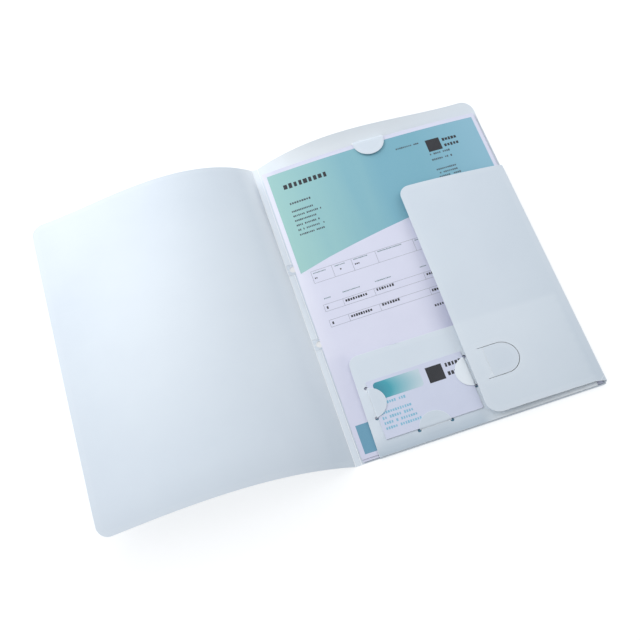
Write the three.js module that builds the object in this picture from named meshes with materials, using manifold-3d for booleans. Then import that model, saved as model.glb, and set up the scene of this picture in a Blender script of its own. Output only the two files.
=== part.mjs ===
// An open A4 presentation folder with its sheets and a business card in it.
//
// The folder is one sheet of plastic film, cut and creased. Two creases make the spine, and two
// more each make the side flap and the bottom flap, with a narrow gusset between cover and flap.
// Every panel between creases is a solid of its own, and so is every tongue or tab that turns on
// its uncut side. A crease is a living hinge: its axis lies on the face that it folds towards, and
// the panels stop just short of it.
//
// Frame while building, in millimetres: X runs across the covers, with the front cover's crease at
// 0 and the back cover on the right. Y runs up the spine from the foot, and Z is up from the table.
import * as THREE from 'three';
import { mergeVertices } from 'three/addons/utils/BufferGeometryUtils.js';
import Module from 'manifold-3d';

const wasm = await Module();
wasm.setup();

// Film and spine
const film = 0.5;
const spineWidth = 5.2;
const coverCornerRadius = 12;

// Clearances
const creaseGap = 0.15;        // from a crease's axis to the panel on each side of it
const cutGap = 0.35;           // kerf between a tongue or tab and the film around it
const layerGap = 0.3;          // between things that lie on each other
const pocketRoom = 0.5;        // between the sheets and the bottom flap

// Paper, and the room that the covers leave round it
const sheetWidth = 210;
const sheetHeight = 297;
const sheetThickness = 0.2;
const spineRoom = 1.4;         // from the back cover's crease to the letter's left edge
const sideRoom = 3.1;          // from the letter's right edge to the side crease
const footRoom = 3.4;          // from the bottom crease to the foot of the letter
const headRoom = 14.6;         // from the letter's head to the covers' head edge
const frontOverhang = 7.5;     // the front cover is wider than the back cover by this much
const letterShifts = [[0.9, -1.2], [0.4, -2.2], [0, 0]];   // lowest sheet first, X and Y

// Business card, measured on the bottom flap
const cardWidth = 85;
const cardHeight = 55;
const cardThickness = 0.3;
const cardInset = 10.2;        // from the flap's left edge to the card
const cardFoot = 13.1;         // from the bottom crease to the card

// Bottom flap
const bottomFlapStart = 15.8;  // from the back cover's crease to the flap's left edge
const bottomFlapEnd = 7.7;     // from the flap's right edge to the side crease
const bottomGussetEnd = 2.2;   // from the bottom gusset's right edge to the side crease
const bottomFlapHeight = 94.5;
const bottomFlapTaper = 2.2;   // the left and head edges run in by this much
const bottomFlapTilt = THREE.MathUtils.degToRad(0.5);
const bottomFlapCornerRadius = 9;

// Half round tabs that hold the card
const cardTabWidth = 28;
const cardTabDepth = 12.8;
const cardTabStandOff = 1.4;   // from a tab's root to the card's edge
const sideTabCentre = 48;      // of the left and right tabs, above the bottom crease
const bottomTabCentre = 42.7;  // of the bottom tab, from the card's left edge
const notchRadius = 1.7;       // relief at each end of a tab's root

// Side flap
const sideFlapFoot = 3.2;
const sideFlapHead = 234;
const sideFlapHeadRise = 4.7;  // the head edge climbs by this much towards the free edge
const sideFlapFootCut = [9, 1.8];   // chamfer at the foot of the crease, X and Y
const sideFlapEdgeGap = 0.7;   // from the right card tab's root to the flap's free edge
const sideFlapTaper = 1.6;     // the free edge runs in by this much at the head
const sideFlapCornerRadius = 12;
const sideFlapLiftFoot = 3.0;  // how far the free edge stands up, foot and head
const sideFlapLiftHead = 8.2;

// D shaped tongue in the side flap
const sideTongueRoot = 15.2;   // from the flap's free edge to the tongue's root
const sideTongueWidth = 28.4;
const sideTongueLength = 27;
const sideTongueCentre = 48.4;
const sideTongueKerf = 0.7;
const reliefSlotLength = 4.5;

// Head tab over the sheets
const headTabWidth = 29.6;
const headTabReach = 16;       // over the letter, from its head edge
const headTabRootRoom = 2.8;   // from the letter's head edge to the tab's root

// Filing tongues
const filingPitch = 80;
const filingTongueWidth = 11;
const filingTongueLength = 11.5;
const filingTongueRadius = 4.5;
const filingHoleRadius = 3;
const filingHoleCentre = 5.6;  // from the front crease

// How the film and the sheets bow. The front cover keeps its length: its slope is given at the
// crease, at one and two thirds of its width and at its outer edge, in degrees, foot and head.
const frontAnglesFoot = [40.8, 12.4, -4.4, -10.2].map(THREE.MathUtils.degToRad);
const frontAnglesHead = [47.5, 8.2, -10.0, -0.3].map(THREE.MathUtils.degToRad);
const flatFoot = 60;           // the back cover lies flat on the table up to here
const bowExponent = 1.6;       // how the bow grows from there to the head
const bowCrown = 77.2;         // from the back cover's crease to the crown of its bow
const backBow = 9.6;           // height of the back cover's bow at the head
const lipHeight = 25;          // the head lip curls up further over this height
const lipCurl = 8.0;
const lipCornerLift = 5;
const sheetLeftLift = 8.5;     // the sheets are stiffer: their left edge stands clear
const sheetRightLift = 1.6;
const sheetCrown = 5.7;

// Places that follow from the sizes
const layerPitch = sheetThickness + layerGap;
const stackTop = film + letterShifts.length * layerPitch;
const bottomCreaseZ = stackTop + pocketRoom;
const sideCreaseZ = bottomCreaseZ + bottomFlapHeight * Math.sin(bottomFlapTilt) + film + layerGap;
const backWidth = spineRoom + sheetWidth + sideRoom;
const frontWidth = backWidth + frontOverhang;
const cutHeight = frontWidth;  // no bow can rise above this
const sideCreaseX = spineWidth + backWidth;
const sheetLeft = spineWidth + spineRoom;
const letterHead = footRoom + sheetHeight;
const folderHeight = letterHead + headRoom;
const headTabCentre = sheetLeft + sheetWidth / 2;
const bottomFlapLeft = spineWidth + bottomFlapStart;
const bottomFlapRight = sideCreaseX - bottomFlapEnd;
const bottomGussetRight = sideCreaseX - bottomGussetEnd;
const headTabRoot = letterHead + headTabRootRoom;
const cardLeft = bottomFlapLeft + cardInset;
const leftTabRoot = cardLeft - cardTabStandOff;
const rightTabRoot = cardLeft + cardWidth + cardTabStandOff;
const sideFlapEdge = rightTabRoot + sideFlapEdgeGap;
const sideTongueRootX = sideFlapEdge + sideTongueRoot;
const beyond = 2;              // how far a blank reaches past the outline that cuts it

// The materials of the real thing
const filmMaterial = new THREE.MeshStandardMaterial({ color: 0xdbe6ef, roughness: 0.42, metalness: 0 });
const paperMaterial = new THREE.MeshStandardMaterial({ color: 0xe6e6f6, roughness: 0.85, metalness: 0 });
const letterMaterial = new THREE.MeshStandardMaterial({ color: 0xe2e4f8, roughness: 0.8, metalness: 0 });
const cardMaterial = new THREE.MeshStandardMaterial({ color: 0xdcdcf0, roughness: 0.7, metalness: 0 });

// Evenly spaced values, both ends included
function steps(from, to, count) {
  return Array.from({ length: count + 1 }, (_, i) => from + (to - from) * i / count);
}

// Solids and their conversion for cuts
function toSolid(geometry) {
  const bare = geometry.clone();
  bare.deleteAttribute('normal');
  bare.deleteAttribute('uv');
  const merged = mergeVertices(bare, 1e-5);
  const vertProperties = new Float32Array(merged.attributes.position.array);
  const triVerts = new Uint32Array(merged.index.array);
  return new wasm.Manifold(new wasm.Mesh({ numProp: 3, vertProperties, triVerts }));
}

function toGeometry(solid) {
  const mesh = solid.getMesh();
  const geometry = new THREE.BufferGeometry();
  geometry.setAttribute('position', new THREE.BufferAttribute(mesh.vertProperties, 3));
  geometry.setIndex(new THREE.BufferAttribute(mesh.triVerts, 1));
  geometry.computeVertexNormals();
  return geometry;
}

// An upright prism over a plan outline, from one height to another
function prism(outline, low = -cutHeight, high = cutHeight) {
  const geometry = new THREE.ExtrudeGeometry(outline, {
    depth: high - low, bevelEnabled: false,
  });
  return geometry.translate(0, 0, low);
}

// Points on an arc, anticlockwise between two angles
function arcPoints(centre, radius, from, to, count) {
  return steps(from, to, count).map((angle) => new THREE.Vector2(
    centre.x + radius * Math.cos(angle), centre.y + radius * Math.sin(angle)));
}

// A polygon with rounded corners. Corners are [x, y, radius], in anticlockwise order.
function roundedPolygon(corners) {
  const points = corners.flatMap(([x, y, radius = 0], i) => {
    const corner = new THREE.Vector2(x, y);
    if (radius === 0) return [corner];
    const [px, py] = corners[(i + corners.length - 1) % corners.length];
    const [nx, ny] = corners[(i + 1) % corners.length];
    const back = new THREE.Vector2(px, py).sub(corner).normalize();
    const ahead = new THREE.Vector2(nx, ny).sub(corner).normalize();
    const halfAngle = Math.acos(back.dot(ahead)) / 2;
    const middle = back.clone().add(ahead).normalize();
    const centre = corner.clone().addScaledVector(middle, radius / Math.sin(halfAngle));
    const start = corner.clone().addScaledVector(back, radius / Math.tan(halfAngle)).sub(centre).angle();
    return arcPoints(centre, radius, start, start + Math.PI - 2 * halfAngle, 8);
  });
  return new THREE.Shape(points);
}

// A tab that grows from the Y axis towards +X with a round end, made larger all round by grow
function halfRound(width, depth, grow = 0, root = 0) {
  const half = width / 2 + grow;
  const reach = depth + grow;
  const radius = reach > half ? half : (half * half + reach * reach) / (2 * reach);
  const swing = reach > half ? Math.PI / 2 : Math.asin(half / radius);
  const round = arcPoints(new THREE.Vector2(reach - radius, 0), radius, -swing, swing, 16);
  const sides = [new THREE.Vector2(root, half), new THREE.Vector2(root, -half)];
  return new THREE.Shape([...round, ...sides]);
}

// Bent film. face gives a point on one face, and the other face lies the thickness away from it,
// above it (side 1) or below it (side -1). Columns run towards +X and rows towards +Y.
function bentFilm(face, columns, rows, thickness, side) {
  const nudge = 0.01;
  const upper = [];
  const lower = [];
  for (const row of rows) {
    for (const column of columns) {
      const point = face(column, row);
      const across = face(column + nudge, row).sub(face(column - nudge, row));
      const along = face(column, row + nudge).sub(face(column, row - nudge));
      const normal = across.cross(along).normalize();
      const opposite = point.clone().addScaledVector(normal, side * thickness);
      (side < 0 ? upper : lower).push(point);
      (side < 0 ? lower : upper).push(opposite);
    }
  }
  const width = columns.length;
  const height = rows.length;
  const at = (i, j) => j * width + i;
  const floor = upper.length;
  const index = [];
  const quad = (a, b, c, d) => index.push(a, b, c, a, c, d);
  for (let j = 0; j + 1 < height; j++) {
    for (let i = 0; i + 1 < width; i++) {
      quad(at(i, j), at(i + 1, j), at(i + 1, j + 1), at(i, j + 1));
      quad(floor + at(i, j), floor + at(i, j + 1), floor + at(i + 1, j + 1), floor + at(i + 1, j));
    }
  }
  for (let i = 0; i + 1 < width; i++) {
    quad(floor + at(i, 0), floor + at(i + 1, 0), at(i + 1, 0), at(i, 0));
    quad(at(i, height - 1), at(i + 1, height - 1), floor + at(i + 1, height - 1), floor + at(i, height - 1));
  }
  for (let j = 0; j + 1 < height; j++) {
    quad(at(0, j), at(0, j + 1), floor + at(0, j + 1), floor + at(0, j));
    quad(floor + at(width - 1, j), floor + at(width - 1, j + 1), at(width - 1, j + 1), at(width - 1, j));
  }
  const geometry = new THREE.BufferGeometry();
  geometry.setAttribute('position', new THREE.Float32BufferAttribute(
    upper.concat(lower).flatMap((p) => [p.x, p.y, p.z]), 3));
  geometry.setIndex(index);
  return geometry;
}

// Film cut to a plan outline, less the windows in it
function cutFilm(blank, outline, windows = []) {
  let solid = toSolid(blank).intersect(toSolid(prism(outline)));
  for (const window of windows) solid = solid.subtract(toSolid(window));
  return toGeometry(solid);
}

// The bows
const cubicThrough = (values, u) => values.reduce((sum, value, i) => {
  let weight = 1;
  for (let k = 0; k < values.length; k++) {
    if (k !== i) weight *= (u * (values.length - 1) - k) / (i - k);
  }
  return sum + value * weight;
}, 0);

function frontSection(distance, y) {
  const share = y / folderHeight;
  const pieces = 24;
  let across = 0;
  let up = 0;
  for (let i = 0; i < pieces; i++) {
    const u = (i + 0.5) / pieces * distance / frontWidth;
    const foot = cubicThrough(frontAnglesFoot, u);
    const head = cubicThrough(frontAnglesHead, u);
    const slope = foot + (head - foot) * share;
    across += Math.cos(slope) * distance / pieces;
    up += Math.sin(slope) * distance / pieces;
  }
  return { across, up };
}

const growth = (y) => (Math.max(0, y - flatFoot) / (folderHeight - flatFoot)) ** bowExponent;
const hump = (u) => {
  const peak = bowCrown / backWidth;
  const fall = (1 - peak) / peak;
  return u * Math.max(0, 1 - u) ** fall / (peak * (1 - peak) ** fall);
};
const curl = (y) => (Math.max(0, y - folderHeight + lipHeight) / lipHeight) ** 2;

function backRise(x, y) {
  const u = Math.max(0, (x - spineWidth) / backWidth);
  return growth(y) * backBow * hump(u) + curl(y) * (lipCurl * hump(u) + lipCornerLift * u ** 3);
}

function sheetRise(x, y) {
  const w = (x - sheetLeft) / sheetWidth;
  return growth(y) * (sheetLeftLift * (1 - w) + sheetRightLift * w + sheetCrown * 4 * w * (1 - w));
}

function sideFlapRise(x, y) {
  const v = Math.max(0, (sideCreaseX - x) / (sideCreaseX - sideFlapEdge));
  const lift = sideFlapLiftFoot + (sideFlapLiftHead - sideFlapLiftFoot) * y / sideFlapHead;
  return lift * (2 * v - v * v);
}

// The filing tongues and the windows that they leave in the spine and in the back cover
const filingCentres = [folderHeight / 2 + filingPitch / 2, folderHeight / 2 - filingPitch / 2];

function filingOutline(grow, root) {
  const half = filingTongueWidth / 2 + grow;
  const end = filingTongueLength + grow;
  return roundedPolygon([
    [root, -half], [end, -half, filingTongueRadius + grow], [end, half, filingTongueRadius + grow], [root, half],
  ]);
}

function filingTongue(centre) {
  const tongue = toSolid(prism(filingOutline(0, creaseGap), 0, film));
  const hole = new THREE.CylinderGeometry(filingHoleRadius, filingHoleRadius, cutHeight, 32)
    .rotateX(Math.PI / 2).translate(filingHoleCentre, 0, 0);
  return toGeometry(tongue.subtract(toSolid(hole))).translate(0, centre, 0);
}

const filingWindows = filingCentres.map((centre) => prism(filingOutline(cutGap, -beyond)).translate(0, centre, 0));

// Covers and spine
function frontCover() {
  const blank = bentFilm((column, y) => {
    const { across, up } = frontSection(-column, y);
    return new THREE.Vector3(-across, y, film + up);
  }, steps(-frontWidth - beyond, -creaseGap, 24), steps(-beyond, folderHeight + beyond, 6), film, -1);
  const footEdge = -frontSection(frontWidth, 0).across;
  const headEdge = -frontSection(frontWidth, folderHeight).across;
  return cutFilm(blank, roundedPolygon([
    [beyond, 0], [beyond, folderHeight],
    [headEdge, folderHeight, coverCornerRadius], [footEdge, 0, coverCornerRadius],
  ]));
}

// The windows of the filing tongues cut the spine into three strips
function spineStrip(foot, head) {
  return new THREE.BoxGeometry(spineWidth - 2 * creaseGap, head - foot, film).translate(
    spineWidth / 2, (foot + head) / 2, film / 2);
}

const filingWindowHalf = filingTongueWidth / 2 + cutGap;

function backCover() {
  const lipStart = folderHeight - lipHeight;
  const rows = [
    ...steps(-beyond, flatFoot, 2), ...steps(flatFoot, lipStart, 7).slice(1),
    ...steps(lipStart, folderHeight + beyond, 6).slice(1),
  ];
  const blank = bentFilm((x, y) => new THREE.Vector3(x, y, film + backRise(x, y)),
    steps(spineWidth - beyond, sideCreaseX + beyond, 20), rows, film, -1);
  const outline = roundedPolygon([
    [spineWidth + creaseGap, creaseGap], [sideCreaseX - creaseGap, creaseGap],
    [sideCreaseX - creaseGap, folderHeight, coverCornerRadius], [spineWidth + creaseGap, folderHeight],
  ]);
  const reach = headTabReach + headTabRootRoom;
  const headWindow = prism(halfRound(headTabWidth, reach, cutGap))
    .rotateZ(-Math.PI / 2).translate(headTabCentre, headTabRoot, 0);
  return cutFilm(blank, outline, [...filingWindows, headWindow]);
}

// The head tab starts on the cover, climbs over the sheets' edge and lies above the letter
function headTab() {
  const bend = letterHead + layerGap;
  const face = (x, y) => {
    const over = stackTop + sheetRise(x, letterHead) + layerGap;
    const root = backRise(x, headTabRoot);
    const share = THREE.MathUtils.clamp((y - bend) / (headTabRoot - bend), 0, 1);
    return new THREE.Vector3(x, y, over + (root - over) * share);
  };
  const half = headTabWidth / 2 + beyond;
  const blank = bentFilm(face, steps(headTabCentre - half, headTabCentre + half, 6),
    [letterHead - headTabReach - beyond, bend - layerGap, headTabRoot - layerGap], film, 1);
  const outline = prism(halfRound(headTabWidth, headTabReach + headTabRootRoom))
    .rotateZ(-Math.PI / 2).translate(headTabCentre, headTabRoot, 0);
  return toGeometry(toSolid(blank).intersect(toSolid(outline)));
}

// Sheets, lowest first. All follow one surface, a pitch apart.
function sheet(layer) {
  const [shiftX, shiftY] = letterShifts[layer];
  const left = sheetLeft + shiftX;
  const foot = footRoom + shiftY;
  const base = film + layerGap + layer * layerPitch;
  const rows = [foot, ...steps(flatFoot, foot + sheetHeight, 9)];
  return bentFilm((x, y) => new THREE.Vector3(x, y, base + sheetRise(x, y)),
    steps(left, left + sheetWidth, 10), rows, sheetThickness, 1);
}

// Side gusset and side flap
function sideGusset() {
  const height = sideCreaseZ - film - 2 * creaseGap;
  const length = sideFlapHead - sideFlapFoot + sideFlapFootCut[1];
  return new THREE.BoxGeometry(film, length, height).translate(
    sideCreaseX + film / 2, sideFlapHead - length / 2, film + creaseGap + height / 2);
}

function sideFlapBlank() {
  return bentFilm((x, y) => new THREE.Vector3(x, y, sideCreaseZ + sideFlapRise(x, y)),
    steps(sideFlapEdge - beyond, sideCreaseX - creaseGap, 8),
    steps(0, sideFlapHead + sideFlapHeadRise + beyond, 4), film, 1);
}

function sideTongueOutline(grow, root) {
  return prism(halfRound(sideTongueWidth, sideTongueLength, grow, root))
    .translate(sideTongueRootX, sideTongueCentre, 0);
}

function sideFlap() {
  const outline = roundedPolygon([
    [sideCreaseX - sideFlapFootCut[0], sideFlapFoot], [sideCreaseX + beyond, sideFlapFoot - sideFlapFootCut[1]],
    [sideCreaseX + beyond, sideFlapHead],
    [sideFlapEdge + sideFlapTaper, sideFlapHead + sideFlapHeadRise, sideFlapCornerRadius],
    [sideFlapEdge, sideFlapFoot, sideFlapCornerRadius],
  ]);
  const slots = [-1, 1].map((end) => new THREE.BoxGeometry(reliefSlotLength, sideTongueKerf, 2 * cutHeight)
    .translate(sideTongueRootX - reliefSlotLength / 2,
      sideTongueCentre + end * (sideTongueWidth / 2 + sideTongueKerf / 2), 0));
  return cutFilm(sideFlapBlank(), outline, [sideTongueOutline(sideTongueKerf, -creaseGap), ...slots]);
}

function sideFlapTongue() {
  return toGeometry(toSolid(sideFlapBlank()).intersect(toSolid(sideTongueOutline(0, creaseGap))));
}

// Bottom gusset, and the bottom flap with its tabs and card. The flap's own frame starts on the
// bottom crease, with Z = 0 on the flap's upper face, and tilts up a little with the flap.
function bottomGusset() {
  const height = bottomCreaseZ - film - 2 * creaseGap;
  const length = bottomGussetRight - bottomFlapLeft;
  return new THREE.BoxGeometry(length, film, height).translate(
    bottomFlapLeft + length / 2, -film / 2, film + creaseGap + height / 2);
}

const cardTabs = [
  { name: 'card_tab_left', x: leftTabRoot, y: sideTabCentre, turn: 0 },
  { name: 'card_tab_bottom', x: cardLeft + bottomTabCentre, y: cardFoot - cardTabStandOff, turn: Math.PI / 2 },
  { name: 'card_tab_right', x: rightTabRoot, y: sideTabCentre, turn: Math.PI },
];

const placeTab = (geometry, tab) => geometry.rotateZ(tab.turn).translate(tab.x, tab.y, 0);

function bottomFlap() {
  const outline = roundedPolygon([
    [bottomFlapLeft, creaseGap], [bottomFlapRight, creaseGap],
    [bottomFlapRight, bottomFlapHeight - bottomFlapTaper, bottomFlapCornerRadius],
    [bottomFlapLeft + bottomFlapTaper, bottomFlapHeight, bottomFlapCornerRadius],
  ]);
  let solid = toSolid(prism(outline, -film, 0));
  for (const tab of cardTabs) {
    const window = prism(halfRound(cardTabWidth, cardTabDepth, cutGap, -creaseGap));
    solid = solid.subtract(toSolid(placeTab(window, tab)));
    for (const end of [-1, 1]) {
      const notch = new THREE.CylinderGeometry(notchRadius, notchRadius, 2 * cutHeight, 12).rotateX(Math.PI / 2)
        .translate(0, end * (cardTabWidth / 2 + cutGap), 0);
      solid = solid.subtract(toSolid(placeTab(notch, tab)));
    }
  }
  return toGeometry(solid);
}

// A tab leaves the flap at its root, climbs beside the card's edge and lies over the card
function cardTab(tab) {
  const over = cardThickness + 2 * layerGap;
  const climbed = cardTabStandOff - layerGap;
  const side = new THREE.Shape([
    new THREE.Vector2(creaseGap, -film), new THREE.Vector2(climbed, over),
    new THREE.Vector2(cardTabDepth + beyond, over), new THREE.Vector2(cardTabDepth + beyond, over + film),
    new THREE.Vector2(climbed - film / 2, over + film), new THREE.Vector2(creaseGap, 0),
  ]);
  const strip = new THREE.ExtrudeGeometry(side, { depth: cardTabWidth + 2 * beyond, bevelEnabled: false })
    .rotateX(Math.PI / 2).translate(0, cardTabWidth / 2 + beyond, 0);
  const outline = prism(halfRound(cardTabWidth, cardTabDepth));
  return placeTab(toGeometry(toSolid(strip).intersect(toSolid(outline))), tab);
}

function businessCard() {
  return new THREE.BoxGeometry(cardWidth, cardHeight, cardThickness).translate(
    cardLeft + cardWidth / 2, cardFoot + cardHeight / 2, layerGap + cardThickness / 2);
}

// Assembly
function part(name, geometry, material) {
  const mesh = new THREE.Mesh(geometry, material);
  mesh.name = name;
  return mesh;
}

const bottomFlapFrame = new THREE.Group();
bottomFlapFrame.rotation.x = bottomFlapTilt;
bottomFlapFrame.position.z = bottomCreaseZ + film;
bottomFlapFrame.add(
  part('bottom_flap', bottomFlap(), filmMaterial),
  ...cardTabs.map((tab) => part(tab.name, cardTab(tab), filmMaterial)),
  part('business_card', businessCard(), cardMaterial),
);

const pieces = new THREE.Group();
pieces.add(
  part('back_cover', backCover(), filmMaterial),
  part('spine_strip_head', spineStrip(filingCentres[0] + filingWindowHalf, folderHeight), filmMaterial),
  part('spine_strip_middle', spineStrip(filingCentres[1] + filingWindowHalf, filingCentres[0] - filingWindowHalf),
    filmMaterial),
  part('spine_strip_foot', spineStrip(0, filingCentres[1] - filingWindowHalf), filmMaterial),
  part('front_cover', frontCover(), filmMaterial),
  part('filing_tongue_upper', filingTongue(filingCentres[0]), filmMaterial),
  part('filing_tongue_lower', filingTongue(filingCentres[1]), filmMaterial),
  part('head_tab', headTab(), filmMaterial),
  part('third_sheet', sheet(0), paperMaterial),
  part('second_sheet', sheet(1), paperMaterial),
  part('letter_sheet', sheet(2), letterMaterial),
  part('side_gusset', sideGusset(), filmMaterial),
  part('side_flap', sideFlap(), filmMaterial),
  part('side_flap_tongue', sideFlapTongue(), filmMaterial),
  part('bottom_gusset', bottomGusset(), filmMaterial),
  bottomFlapFrame,
);

// The origin is in the middle of the open folder, on the table
pieces.updateMatrixWorld(true);
const reach = new THREE.Box3().setFromObject(pieces, true);
pieces.position.set(-(reach.min.x + reach.max.x) / 2, -(reach.min.y + reach.max.y) / 2, -reach.min.z);

const folder = new THREE.Group();
folder.add(pieces);

export default folder;
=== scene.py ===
# %% [markdown]
# # An open presentation folder
# The real folder is one sheet of plastic film, cut and creased. It lies open with three A4 sheets
# and a business card in it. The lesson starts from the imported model, sets the camera, builds the
# bowed film and paper, prints the letter and the card with plain blocks of ink, and lights it all.

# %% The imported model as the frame
import bpy
import bmesh
import math
import numpy as np
from mathutils import Matrix, Vector
from mathutils.geometry import delaunay_2d_cdt


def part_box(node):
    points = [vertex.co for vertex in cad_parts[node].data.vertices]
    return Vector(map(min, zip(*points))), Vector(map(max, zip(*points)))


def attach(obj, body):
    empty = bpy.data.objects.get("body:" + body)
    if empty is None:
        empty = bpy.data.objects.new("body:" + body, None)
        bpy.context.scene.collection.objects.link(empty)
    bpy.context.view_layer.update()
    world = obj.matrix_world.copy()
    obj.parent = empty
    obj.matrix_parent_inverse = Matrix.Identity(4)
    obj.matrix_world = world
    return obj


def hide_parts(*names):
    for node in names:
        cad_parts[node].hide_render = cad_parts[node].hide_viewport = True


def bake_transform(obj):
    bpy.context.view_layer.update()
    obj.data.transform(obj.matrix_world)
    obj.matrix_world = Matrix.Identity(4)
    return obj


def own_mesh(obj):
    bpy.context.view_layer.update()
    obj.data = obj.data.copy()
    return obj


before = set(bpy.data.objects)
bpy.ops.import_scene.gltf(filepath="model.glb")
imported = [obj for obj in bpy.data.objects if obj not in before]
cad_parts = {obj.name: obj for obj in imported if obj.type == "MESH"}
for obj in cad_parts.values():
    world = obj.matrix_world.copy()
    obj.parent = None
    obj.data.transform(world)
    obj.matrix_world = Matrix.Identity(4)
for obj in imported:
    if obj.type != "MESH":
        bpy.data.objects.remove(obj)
scene = bpy.context.scene
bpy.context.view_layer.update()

# %% [markdown]
# ## The camera
# The photograph was taken from high above the foot of the folder, a little to its left, with the
# camera rolled. The angles come from fitting a camera to what has a standard size in the picture:
# the business card, the A4 sheet and the 80 mm between the filing holes.

# %% The camera
def look_from(azimuth, elevation, roll, distance, target):
    """The matrix of a camera that looks at target from that side, angles in degrees."""
    a, e, r = (math.radians(angle) for angle in (azimuth, elevation, roll))
    back = Vector((math.sin(a) * math.cos(e), -math.cos(a) * math.cos(e), math.sin(e)))
    right = Vector((0, 0, 1)).cross(back).normalized()
    up = back.cross(right)
    across = right * math.cos(r) + up * math.sin(r)
    upward = up * math.cos(r) - right * math.sin(r)
    turned = Matrix((across, upward, back)).transposed().to_4x4()
    return Matrix.Translation(Vector(target) + back * distance) @ turned


focal_pixels, picture_pixels = 1138.324, 640
camera = bpy.data.objects.new("camera", bpy.data.cameras.new("camera"))
scene.collection.objects.link(camera)
camera.matrix_world = look_from(-7.222, 61.748, -11.574, 0.999764, (0.009421, -0.016928, 0))
camera.data.sensor_width = 36
camera.data.lens = focal_pixels / picture_pixels * 36
scene.camera = camera
print("lens", round(camera.data.lens, 1), "mm, at", [round(x, 3) for x in camera.location])

# %% [markdown]
# ## Sizes
# The film is half a millimetre thick. While a piece is made, X = 0 is the front cover's crease and
# Y = 0 the foot of the folder, because every cut and fold is measured from there. The frame tells
# where that corner lies, and each finished piece is moved there once.

# %% Sizes in metres
mm = 0.001
film = 0.5 * mm
crease_gap = 0.15 * mm
cut_gap = 0.35 * mm
layer_gap = 0.3 * mm
root_gap = 0.05 * mm
ink_film = 0.01 * mm
past = 2 * mm                               # how far a window's root reaches past the film's edge

spine_width, back_width, front_width = 5.2 * mm, 214.5 * mm, 222 * mm
folder_height = 315 * mm
cover_corner = 12 * mm
side_crease_x = spine_width + back_width

filing_pitch = 80 * mm
filing_width, filing_length, filing_radius = 11 * mm, 11.5 * mm, 4.5 * mm
filing_hole, filing_hole_x = 3 * mm, 5.6 * mm   # its radius, and its distance from the crease
filing_centres = (folder_height / 2 + filing_pitch / 2, folder_height / 2 - filing_pitch / 2)

head_tab_centre, head_tab_root = 111.6 * mm, 303.2 * mm
head_tab_width, head_tab_reach = 29.6 * mm, 18.8 * mm

sheet_left, sheet_foot = 6.6 * mm, 3.4 * mm
sheet_width, sheet_height, sheet_thickness = 210 * mm, 297 * mm, 0.2 * mm
letter_head = sheet_foot + sheet_height
lowest_sheet, sheet_step = 0.8 * mm, 0.5 * mm
sheet_top = lowest_sheet + 2 * sheet_step + sheet_thickness

corner = Vector((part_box("spine_strip_head")[0].x - crease_gap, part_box("front_cover")[0].y, 0))
print("the front crease's foot lies at", [round(x, 5) for x in corner])

# %% [markdown]
# ## Cut outlines
# A cutting die draws each piece: straight runs, rounded corners and half round tabs. A few helpers
# draw such outlines as lists of points, and another fills an outline with small, even triangles,
# because film that is to be bowed needs points all over it and not only along its edge.

# %% Drawing an outline
def arc(centre, radius, start, end, count=12):
    return [(centre[0] + radius * math.cos(angle), centre[1] + radius * math.sin(angle))
            for angle in np.linspace(start, end, count + 1)]


def circle(centre, radius, count):
    return arc(centre, radius, 0, 2 * math.pi, count)[:-1]


def rectangle(left, foot, width, height):
    return [(left, foot), (left + width, foot), (left + width, foot + height), (left, foot + height)]


def rounded(corners):
    """A polygon from corners (x, y, radius), anticlockwise."""
    points = []
    for i, (x, y, radius) in enumerate(corners):
        if not radius:
            points.append((x, y))
            continue
        here = Vector((x, y))
        back = (Vector(corners[i - 1][:2]) - here).normalized()
        ahead = (Vector(corners[(i + 1) % len(corners)][:2]) - here).normalized()
        half = back.angle(ahead) / 2
        centre = here + (back + ahead).normalized() * radius / math.sin(half)
        first = here + back * radius / math.tan(half) - centre
        start = math.atan2(first.y, first.x)
        points += arc(centre, radius, start, start + math.pi - 2 * half)
    return points


def half_round(width, depth, grow=0.0, root=0.0):
    """A tab that grows from X = 0 towards +X, made larger all round by grow."""
    half, reach = width / 2 + grow, depth + grow
    radius = half if reach > half else (half * half + reach * reach) / (2 * reach)
    swing = math.pi / 2 if reach > half else math.asin(half / radius)
    return arc((reach - radius, 0), radius, -swing, swing, 28) + [(root, half), (root, -half)]


def placed(points, x, y, turn=0.0):
    c, s = math.cos(turn), math.sin(turn)
    return [(x + c * px - s * py, y + s * px + c * py) for px, py in points]


# %% Filling an outline
def inside(points, loop):
    """Which points lie inside a closed loop."""
    x, y = np.asarray(points).T
    hit = np.zeros(len(x), bool)
    for (ax, ay), (bx, by) in zip(loop, np.roll(loop, -1, 0)):
        if ay != by:
            hit ^= ((ay > y) != (by > y)) & (x < (bx - ax) * (y - ay) / (by - ay) + ax)
    return hit


def to_edges(points, edges):
    """The distance from each point to the nearest of some straight edges."""
    a, b = np.asarray(edges)[:, 0], np.asarray(edges)[:, 1]
    run = b - a
    p = np.asarray(points)[:, None, :]
    t = np.clip(((p - a) * run).sum(2) / np.maximum((run * run).sum(1), 1e-18), 0, 1)
    return np.linalg.norm(p - (a + t[..., None] * run), axis=2).min(1)


def divided(loop, cell):
    """The loop with its long edges divided."""
    points = []
    for a, b in zip(loop, loop[1:] + loop[:1]):
        count = max(1, math.ceil(math.dist(a, b) / cell))
        points += [(a[0] + (b[0] - a[0]) * k / count, a[1] + (b[1] - a[1]) * k / count) for k in range(count)]
    return points


rim_reach = 8 * mm


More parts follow.
